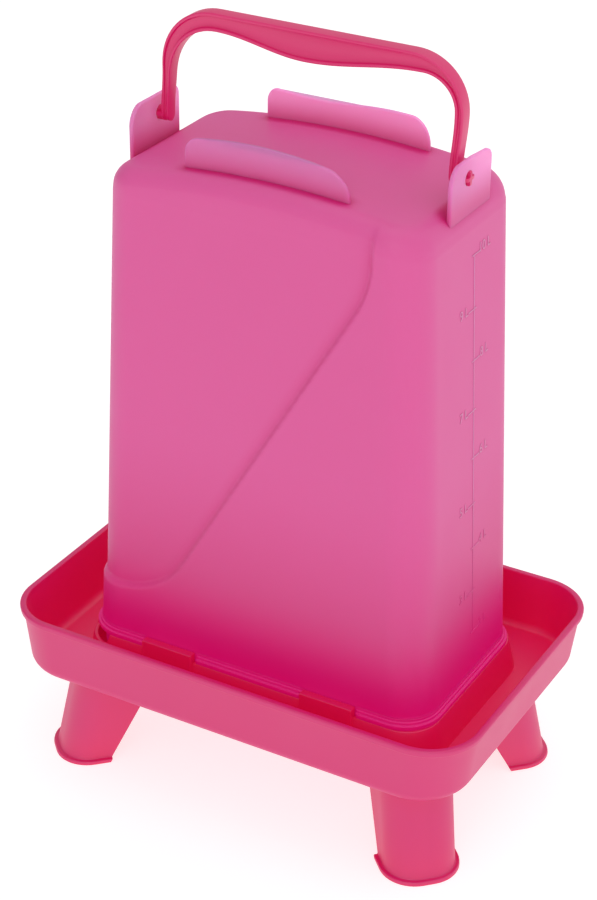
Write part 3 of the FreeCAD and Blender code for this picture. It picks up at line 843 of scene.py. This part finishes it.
def plus_pin(start_x, end_x):
    """Pivot pin of plus-shaped section along X."""
    web = PIN_WEB / 2
    reach = math.sqrt(PIN_RADIUS ** 2 - web ** 2)
    outline = []
    for quarter in range(4):
        turn = math.pi / 2 * quarter
        spread = math.atan2(web, reach)
        for step in range(5):
            angle = turn - spread + 2 * spread * step / 4
            outline.append((PIN_RADIUS * math.cos(angle), PIN_RADIUS * math.sin(angle)))
        corner = turn + math.pi / 4
        outline.append((web * math.sqrt(2) * math.cos(corner), web * math.sqrt(2) * math.sin(corner)))
    rings = []
    tip = 0.6 * MM if end_x > start_x else -0.6 * MM
    for x, scale in ((start_x, 1.0), (end_x - tip, 1.0), (end_x, 0.88)):
        rings.append([(x, y * scale, PIVOT_Z + z * scale) for y, z in outline])
    return skin(rings, first_cap=True, last_cap=True)


def make_handle(material):
    """Bail handle: an I-shaped rib swept round its outline, rounded at the feet, with its pins."""
    pairs = bail_edges()
    rings = []
    count = len(pairs)
    for index, (outer, inner) in enumerate(pairs):
        outer = Vector((outer[0], 0.0, outer[1]))
        inner = Vector((inner[0], 0.0, inner[1]))
        height = (inner - outer).length
        inward = (inner - outer).normalized()
        from_end = min(index, count - 1 - index)
        grow = min(from_end / 26, 1.0)
        width = ARM_WIDTH + (GRIP_WIDTH - ARM_WIDTH) * grow * grow * (3 - 2 * grow)
        rings.append([outer + inward * depth + Vector((0, y, 0)) for depth, y in rib_section(height, width)])
    # Each foot is rounded below the pivot.
    for end in (0, -1):
        foot = []
        for step in range(1, 7):
            drop = math.sin(math.pi / 2 * step / 6) * ARM_WIDTH / 2
            narrow = max(math.cos(math.pi / 2 * step / 6), 0.12)
            foot.append([Vector((p.x, p.y * narrow, PIVOT_Z - drop)) for p in rings[end]])
        if end == 0:
            start_rings = list(reversed(foot))
        else:
            end_rings = foot
    parts = [skin(start_rings + rings + end_rings, first_cap=True, last_cap=True)]
    arm_x = ear_face_x() - EAR_THICKNESS - HANDLE_GAP
    for side in (-1, 1):
        parts.append(plus_pin(side * (arm_x - HANDLE_FLANGE), side * (ear_face_x() + PIN_OVERHANG)))
    # Gate mark under the middle of the grip.
    rings = []
    grip_under = handle_high.z - GRIP_SAG - GRIP_MIDDLE
    turns = [math.tau * step / 16 for step in range(16)]
    for radius, drop in GATE_MARK:
        rings.append([(radius * math.cos(t), radius * math.sin(t), grip_under - drop)
                      for t in reversed(turns)])
    parts.append(skin(rings, first_cap=True, last_cap=True))
    points, faces = joined(parts)
    handle = new_object("bail_handle", points, faces, material, "handle", "carry_handle")
    smooth_by_angle(handle, 50)
    return handle


# --- Tray -----------------------------------------------------------------------------------------
def basin_ring(reach, z):
    """Ring of the tray at height z, standing out from its outer wall by reach."""
    share = (RIM_Z - z) / (RIM_Z - UNDERSIDE_Z)
    half_x = TRAY_X - LIP_REACH - share * TRAY_END_DRAFT + reach
    half_y = TRAY_Y - LIP_REACH - share * TRAY_SIDE_DRAFT + reach
    ring = plan(half_x, half_y, TRAY_CORNER - LIP_REACH + reach, corner_steps=20, x_steps=16, y_steps=12)
    return np.stack((ring[:, 0], ring[:, 1], np.full(len(ring), z)), axis=1)


def make_basin(material):
    """Trough tray with its rounded heel and rolled lip."""
    round_in = 5.0 * MM
    top_round = 1.5 * MM
    under = 0.9 * MM
    profile = bend(-TRAY_HEEL, UNDERSIDE_Z + TRAY_HEEL, TRAY_HEEL, 270, 360, 8)
    profile += [(0.0, RIM_Z - LIP_HEIGHT - 0.6 * MM), (0.2 * MM, RIM_Z - LIP_HEIGHT - 0.15 * MM)]
    profile += bend(LIP_REACH - under, RIM_Z - LIP_HEIGHT + under, under, 270, 360)
    profile += bend(LIP_REACH - top_round, RIM_Z - top_round, top_round, 0, 90, 7)
    profile += bend(-WALL + 1.0 * MM, RIM_Z - 1.0 * MM, 1.0 * MM, 90, 180)
    profile += [(-WALL, RIM_Z - 20.0 * MM)]
    profile += [(-WALL - round_in + round_in * math.cos(t), FLOOR_Z + round_in - round_in * math.sin(t))
                for t in (math.pi / 2 * step / 8 for step in range(9))]
    rings = [basin_ring(reach, z) for reach, z in profile]
    points, faces = skin(rings, first_cap=True, last_cap=True)
    basin = new_object("trough_tray", points, faces, material, "tray", "drinking_tray")
    smooth_by_angle(basin, 50)
    return basin


def step_between(value, low, high, ease):
    """1 between low and high, 0 outside, over an eased edge."""
    rise = np.clip((value - low) / ease + 0.5, 0.0, 1.0)
    fall = np.clip((high - value) / ease + 0.5, 0.0, 1.0)
    return np.minimum(rise, fall)


def make_collar(material):
    """Flared collar with the cut-down corner that lets air in and the low water openings."""
    sink = 0.5 * MM
    steps = {"corner_steps": 16, "x_steps": 200, "y_steps": 30}
    base = plan(tank_high.x + COLLAR_FLARE, tank_high.y + COLLAR_FLARE, TANK_CORNER + COLLAR_FLARE, **steps)
    corner_x = -tank_high.x - COLLAR_FLARE
    corner_y = -tank_high.y - COLLAR_FLARE
    near_x = step_between(base[:, 0], corner_x - 1.0, corner_x + INLET_LENGTH, 1.5 * MM)
    near_y = step_between(base[:, 1], corner_y - 1.0, corner_y + INLET_DEPTH, 1.5 * MM)
    top = SEAT_Z - INLET_DROP * np.minimum(near_x, near_y)
    outlet = np.zeros(len(base))
    for x in (-OUTLET_SPACING / 2, OUTLET_SPACING / 2):
        here = step_between(base[:, 0], x - OUTLET_WIDTH / 2, x + OUTLET_WIDTH / 2, 1.0 * MM)
        outlet = np.maximum(outlet, here * (base[:, 3] > SQUARE_ON))
    bottom = FLOOR_Z - sink + (OUTLET_HEIGHT + sink) * outlet
    soft = 0.35 * MM
    rise = SEAT_Z - FLOOR_Z
    rows = [(0.0, 0.0), (0.0, 0.3), (0.0, 0.7), (0.0, 1.0), (soft * 0.3, 1.0), (soft, 1.0)]
    rows += [(WALL - soft, 1.0), (WALL - soft * 0.3, 1.0), (WALL, 1.0), (WALL, 0.7), (WALL, 0.3), (WALL, 0.0)]
    drops = [0, 0, 0, soft, soft * 0.3, 0, 0, soft * 0.3, soft, 0, 0, 0]
    rings = []
    for (inset, share), drop in zip(rows, drops):
        z = bottom + (top - bottom) * share - drop
        flare = COLLAR_FLARE * (SEAT_Z - z) / rise
        inward = inset + COLLAR_FLARE - flare
        x = base[:, 0] - base[:, 2] * inward
        y = base[:, 1] - base[:, 3] * inward
        rings.append(np.stack((x, y, z), axis=1))
    points, faces = skin(rings, wrap=True)
    collar = new_object("tank_collar", points, faces, material, "tray", "drinking_tray")
    smooth_by_angle(collar, 40)
    return collar


def make_catches(material):
    """Four catches that stand against the collar and reach over the flange."""
    inner = MOUTH_Y + FIT
    outer = tank_high.y + CATCH_PROUD
    middle = (inner + outer) / 2
    half_y = (outer - inner) / 2
    ease = 0.5 * MM
    parts = []
    for x in (-CATCH_SPACING / 2, CATCH_SPACING / 2):
        for side in (-1, 1):
            rings = []
            rows = [(FLOOR_Z - ease, 0.0)]
            rows += [(FLANGE_TOP_Z - ease + ease * math.sin(t), ease * (1 - math.cos(t)))
                     for t in (math.pi / 2 * step / 4 for step in range(5))]
            for z, inset in rows:
                ring = plan(CATCH_LENGTH / 2 - inset, half_y - inset, ease, 3, 6, 3)
                rings.append([(x + p[0], side * middle + p[1], z) for p in ring])
            parts.append(skin(rings, first_cap=True, last_cap=True))
    points, faces = joined(parts)
    catches = new_object("collar_catches", points, faces, material, "tray", "drinking_tray")
    smooth_by_angle(catches, 40)
    return catches


# --- Legs -----------------------------------------------------------------------------------------
CORNERS = {
    "leg_front_left": (-1, -1),
    "leg_front_right": (1, -1),
    "leg_rear_left": (-1, 1),
    "leg_rear_right": (1, 1),
}


def channel(front, back, reach):
    """Open channel outline in the leg's own frame, from one free edge round the front to the other."""
    half = LEG_WIDTH / 2 + reach
    radius = LEG_CORNER + reach
    front = front + reach
    points = [(-back + (front - radius + back) * step / 6, -half) for step in range(6)]
    for step in range(13):
        turn = -math.pi / 2 + math.pi / 2 * step / 12
        points.append((front - radius + radius * math.cos(turn), -half + radius + radius * math.sin(turn)))
    for step in range(1, 4):
        points.append((front, -half + radius + (2 * half - 2 * radius) * step / 4))
    for step in range(13):
        turn = math.pi / 2 * step / 12
        points.append((front - radius + radius * math.cos(turn), half - radius + radius * math.sin(turn)))
    points += [(-back + (front - radius + back) * step / 6, half) for step in range(5, -1, -1)]
    return points


def at_corner(points, signs):
    """Points in a leg's own frame, turned and moved to its tray corner."""
    turn = math.atan2(signs[1], signs[0])
    cos, sin = math.cos(turn), math.sin(turn)
    place_x = signs[0] * (TRAY_X - LEG_END_INSET)
    place_y = signs[1] * (TRAY_Y - LEG_SIDE_INSET)
    return [(place_x + x * cos - y * sin, place_y + x * sin + y * cos, z) for x, y, z in points]


def leg_ring(z, reach, trim=0.0):
    """Closed ring round a leg's channel wall at height z."""
    share = z / UNDERSIDE_Z
    front = LEG_FOOT_FRONT + (LEG_TOP_FRONT - LEG_FOOT_FRONT) * share
    back = LEG_FOOT_BACK + (LEG_TOP_BACK - LEG_FOOT_BACK) * share
    outer = channel(front, back, reach - trim)
    inner = channel(front, back, -WALL + trim)
    return [(x, y, z) for x, y in outer] + [(x, y, z) for x, y in reversed(inner)]


def make_leg(name, signs, material):
    """Push-on leg: a splayed channel with a flanged foot."""
    edge = 0.8 * MM
    rings = [leg_ring(0.0, FOOT_REACH - edge * 0.5, 0.3 * MM)]
    rings += [leg_ring(z, FOOT_REACH - edge + reach) for reach, z in bend(0, edge, edge, 320, 360, 3)]
    rings += [leg_ring(z, FOOT_REACH - edge + reach)
              for reach, z in bend(0, FOOT_HEIGHT - edge, edge, 0, 90, 4)]
    rings += [leg_ring(FOOT_HEIGHT, 0.7 * MM), leg_ring(FOOT_HEIGHT + 0.2 * MM, 0.25 * MM)]
    rings += [leg_ring(FOOT_HEIGHT + 0.8 * MM, 0.0)]
    rows = 10
    for row in range(1, rows + 1):
        rings.append(leg_ring(FOOT_HEIGHT + (UNDERSIDE_Z - FOOT_HEIGHT) * row / rows, 0.0))
    points, faces = skin([at_corner(ring, signs) for ring in rings], first_cap=True, last_cap=True)
    leg = new_object(name + "_channel", points, faces, material, name, name)
    smooth_by_angle(leg, 45)
    return leg


def make_leg_ribs(material):
    """Hollow ribs under the tray that fill the top of each leg's channel."""
    low_z = UNDERSIDE_Z - BOSS_HEIGHT
    high_z = UNDERSIDE_Z + WALL / 2
    ease = 0.4 * MM
    gap = WALL + FIT
    rows = [(high_z, -gap, 0.0), (low_z + ease, -gap, 0.0), (low_z, -gap - ease, ease)]
    rows += [(low_z, -gap - WALL + ease, WALL - ease), (low_z + ease, -gap - WALL, WALL)]
    rows += [(high_z, -gap - WALL, WALL)]
    parts = []
    for signs in CORNERS.values():
        rings = []
        for z, reach, back_inset in rows:
            ring = [(x, y, z) for x, y in channel(LEG_TOP_FRONT, BOSS_BACK - back_inset, reach)]
            rings.append(at_corner(ring, signs))
        parts.append(skin(rings, wrap=True))
    points, faces = joined(parts)
    ribs = new_object("leg_ribs", points, faces, material, "tray", "drinking_tray")
    smooth_by_angle(ribs, 40)
    return ribs


# --- Stage ----------------------------------------------------------------------------------------
def make_stage():
    """Plain pale light table, white surroundings and two large soft lights."""
    mesh = bpy.data.meshes.new("floor")
    reach = 6.0
    mesh.from_pydata([(-reach, -reach, 0), (reach, -reach, 0), (reach, reach, 0), (-reach, reach, 0)], [],
                     [(0, 1, 2, 3)])
    material, nodes, links, shader = new_material("floor_paint")
    colour = tinted(nodes, links, (0.45, 0.45, 0.45), (0.47, 0.47, 0.47), 2.0)
    links.new(colour, shader.inputs["Base Color"])
    shader.inputs["Roughness"].default_value = 0.9
    shader.inputs["Specular IOR Level"].default_value = 0.1
    shader.inputs["Emission Color"].default_value = (1.0, 1.0, 1.0, 1.0)
    shader.inputs["Emission Strength"].default_value = 0.72
    mesh.materials.append(material)
    floor = bpy.data.objects.new("floor", mesh)
    bpy.context.scene.collection.objects.link(floor)
    world = bpy.data.worlds.new("studio")
    world.use_nodes = True
    world_nodes = world.node_tree.nodes
    world_links = world.node_tree.links
    sky = world_nodes["Background"]
    sky.inputs["Color"].default_value = (1.0, 1.0, 1.0, 1.0)
    place = world_nodes.new("ShaderNodeTexCoord")
    split = world_nodes.new("ShaderNodeSeparateXYZ")
    world_links.new(place.outputs["Generated"], split.inputs["Vector"])
    # The left side of the studio is darker, which models the steps and edges that face it.
    strength = eased(world_nodes, world_links, split.outputs["X"], -0.9, 0.1, 0.42, 0.80)
    world_links.new(strength, sky.inputs["Strength"])
    bpy.context.scene.world = world
    bpy.context.scene.view_settings.view_transform = "Standard"
    for name, place, size, power in (("key", (0.7, -2.4, 1.9), 1.6, 9.0), ("top", (0.1, 0.2, 2.6), 1.8, 7.0)):
        data = bpy.data.lights.new(name, "AREA")
        data.size = size
        data.energy = power
        light = bpy.data.objects.new(name, data)
        light.location = place
        aim = Vector((0.0, 0.0, 0.25)) - light.location
        light.rotation_euler = aim.to_track_quat("-Z", "Y").to_euler()
        bpy.context.scene.collection.objects.link(light)


# --- Build ----------------------------------------------------------------------------------------
make_camera()
make_stage()
tray_finish = tray_plastic()
handle_finish = handle_plastic()
tank_finish = tank_plastic("tank_plastic", 0.0)
# Painted highlight: a paler copy of the tank plastic for the litre scale, in place of light catching its
# raised marks.
scale_highlight_material = tank_plastic("tank_plastic_scale", 0.13)
thin_finish = thin_tank_plastic()
for cad_name, cad_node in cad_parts.items():
    cad_node.data.materials.clear()
    cad_node.data.materials.append(tank_finish if cad_name == "fount_tank" else tray_finish)
make_tank(tank_finish)
make_fins(thin_finish)
make_ear(-1, thin_finish)
make_ear(1, thin_finish)
make_scale(scale_highlight_material)
make_handle(handle_finish)
make_basin(tray_finish)
make_collar(tray_finish)
make_catches(tray_finish)
make_leg_ribs(tray_finish)
for leg_name, leg_signs in CORNERS.items():
    make_leg(leg_name, leg_signs, tray_finish)
